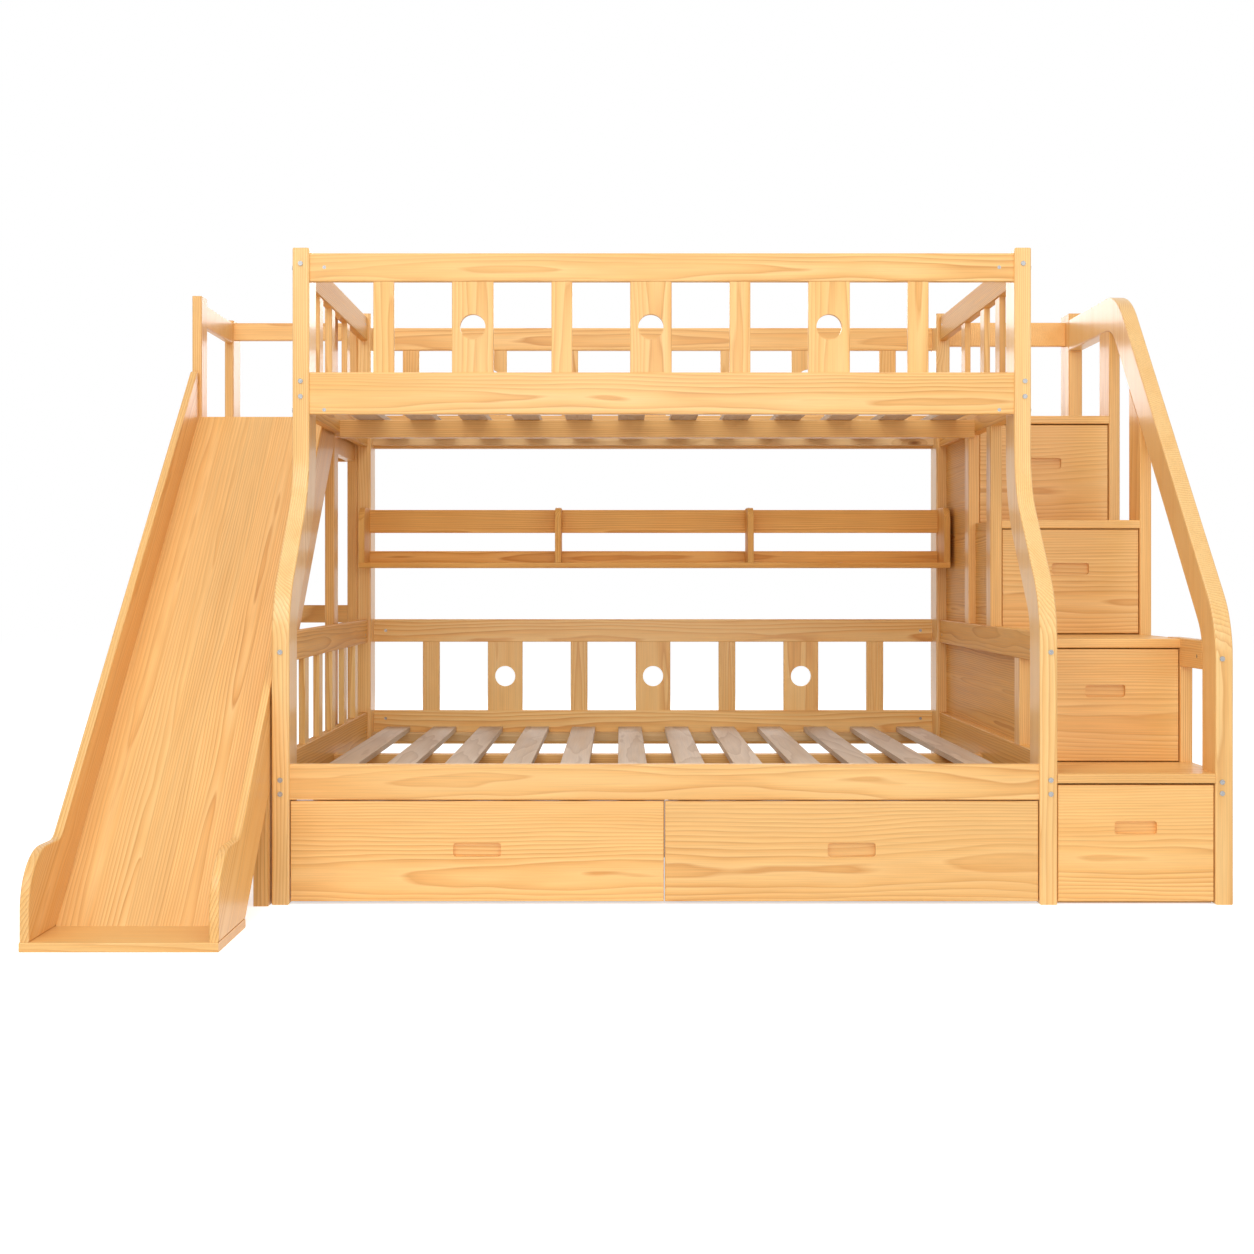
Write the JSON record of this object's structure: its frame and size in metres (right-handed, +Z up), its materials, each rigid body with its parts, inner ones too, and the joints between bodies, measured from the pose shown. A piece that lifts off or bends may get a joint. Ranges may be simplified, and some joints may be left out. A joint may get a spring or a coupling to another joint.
{
  "type": "bunk bed with slide",
  "caption": "Wooden bunk bed, wider below than above, with a drawer staircase on one side, a slide from a small platform on the other, rolling under-bed drawers and a wall shelf.",
  "frame": {"origin": "centre of the overall bounding box, on the floor plane", "axes": "+X along the bed towards the staircase, +Y from the front to the wall, +Z up"},
  "size_m": [2.926, 2.131, 1.745],
  "materials": {
    "varnished_pine": "glossy clear varnish",
    "slat_wood": "unfinished, matt",
    "pale_board": "satin varnish",
    "bolt_steel": "bright zinc plate",
    "wheel_plastic": "matt"
  },
  "bodies": {
    "frame": {"bolts": "bolt_steel", "center_beams": "varnished_pine", "front_post_left": "varnished_pine", "front_post_right": "varnished_pine", "lower_end_guard_rails": "varnished_pine", "lower_end_rail_left": "varnished_pine", "lower_end_rail_right": "varnished_pine", "lower_front_rail": "varnished_pine", "lower_guard_slats": "varnished_pine", "lower_rear_guard_rail": "varnished_pine", "lower_rear_rail": "varnished_pine", "lower_slats": "slat_wood", "lower_wide_slats": "varnished_pine", "platform_bearers": "varnished_pine", "platform_deck": "varnished_pine", "platform_guard_rails": "varnished_pine", "platform_posts": "varnished_pine", "rear_post_left": "varnished_pine", "rear_post_right": "varnished_pine", "shelf_board": "varnished_pine", "shelf_brackets": "varnished_pine", "slat_ledgers": "varnished_pine", "slide_chute": "varnished_pine", "slide_foot_board": "varnished_pine", "slide_side_left": "varnished_pine", "slide_side_right": "varnished_pine", "slide_supports": "varnished_pine", "stair_handrail": "varnished_pine", "stair_inner_stiles": "varnished_pine", "stair_outer_posts": "varnished_pine", "stair_panels": "pale_board", "stair_runners": "varnished_pine", "stair_side_rails": "varnished_pine", "stair_treads": "varnished_pine", "upper_end_guard_rails": "varnished_pine", "upper_end_rail_left": "varnished_pine", "upper_end_rail_right": "varnished_pine", "upper_front_guard_rail": "varnished_pine", "upper_front_rail": "varnished_pine", "upper_guard_slats": "varnished_pine", "upper_rear_guard_rail": "varnished_pine", "upper_rear_rail": "varnished_pine", "upper_slats": "slat_wood", "upper_wide_slats": "varnished_pine"},
    "stair_drawer_1": {"stair_drawer_front_1": "varnished_pine", "stair_drawer_box_1": "pale_board"},
    "stair_drawer_2": {"stair_drawer_front_2": "varnished_pine", "stair_drawer_box_2": "pale_board"},
    "stair_drawer_3": {"stair_drawer_front_3": "varnished_pine", "stair_drawer_box_3": "pale_board"},
    "stair_drawer_4": {"stair_drawer_front_4": "varnished_pine", "stair_drawer_box_4": "pale_board"},
    "under_drawer_left": {"under_drawer_front_left": "varnished_pine", "under_drawer_box_left": "pale_board"},
    "wheels_front_left": {"under_drawer_wheels_front_left": "wheel_plastic"},
    "wheels_rear_left": {"under_drawer_wheels_rear_left": "wheel_plastic"},
    "under_drawer_right": {"under_drawer_front_right": "varnished_pine", "under_drawer_box_right": "pale_board"},
    "wheels_front_right": {"under_drawer_wheels_front_right": "wheel_plastic"},
    "wheels_rear_right": {"under_drawer_wheels_rear_right": "wheel_plastic"}
  },
  "joints": [
    {"name": "stair_drawer_1_slide", "type": "slide", "parent": "frame", "child": "stair_drawer_1", "axis": [0, -1, 0], "range_m": [0, 0.45]},
    {"name": "stair_drawer_2_slide", "type": "slide", "parent": "frame", "child": "stair_drawer_2", "axis": [0, -1, 0], "range_m": [0, 0.45]},
    {"name": "stair_drawer_3_slide", "type": "slide", "parent": "frame", "child": "stair_drawer_3", "axis": [0, -1, 0], "range_m": [0, 0.45]},
    {"name": "stair_drawer_4_slide", "type": "slide", "parent": "frame", "child": "stair_drawer_4", "axis": [0, -1, 0], "range_m": [0, 0.35]},
    {"name": "under_drawer_left_slide", "type": "slide", "parent": "frame", "child": "under_drawer_left", "axis": [0, -1, 0], "range_m": [0, 0.6]},
    {"name": "wheels_front_left_roll", "type": "hinge", "parent": "under_drawer_left", "child": "wheels_front_left", "pos_m": [-0.4875, -0.4015, 0.022], "axis": [1, 0, 0], "continuous": true},
    {"name": "wheels_rear_left_roll", "type": "hinge", "parent": "under_drawer_left", "child": "wheels_rear_left", "pos_m": [-0.4875, 0.1585, 0.022], "axis": [1, 0, 0], "continuous": true},
    {"name": "under_drawer_right_slide", "type": "slide", "parent": "frame", "child": "under_drawer_right", "axis": [0, -1, 0], "range_m": [0, 0.6]},
    {"name": "wheels_front_right_roll", "type": "hinge", "parent": "under_drawer_right", "child": "wheels_front_right", "pos_m": [0.4875, -0.4015, 0.022], "axis": [1, 0, 0], "continuous": true},
    {"name": "wheels_rear_right_roll", "type": "hinge", "parent": "under_drawer_right", "child": "wheels_rear_right", "pos_m": [0.4875, 0.1585, 0.022], "axis": [1, 0, 0], "continuous": true}
  ],
  "couplings": [
    {"joint": "wheels_front_left_roll", "follows": "under_drawer_left_slide", "rad_per_m": 45.455},
    {"joint": "wheels_rear_left_roll", "follows": "under_drawer_left_slide", "rad_per_m": 45.455},
    {"joint": "wheels_front_right_roll", "follows": "under_drawer_right_slide", "rad_per_m": 45.455},
    {"joint": "wheels_rear_right_roll", "follows": "under_drawer_right_slide", "rad_per_m": 45.455}
  ]
}
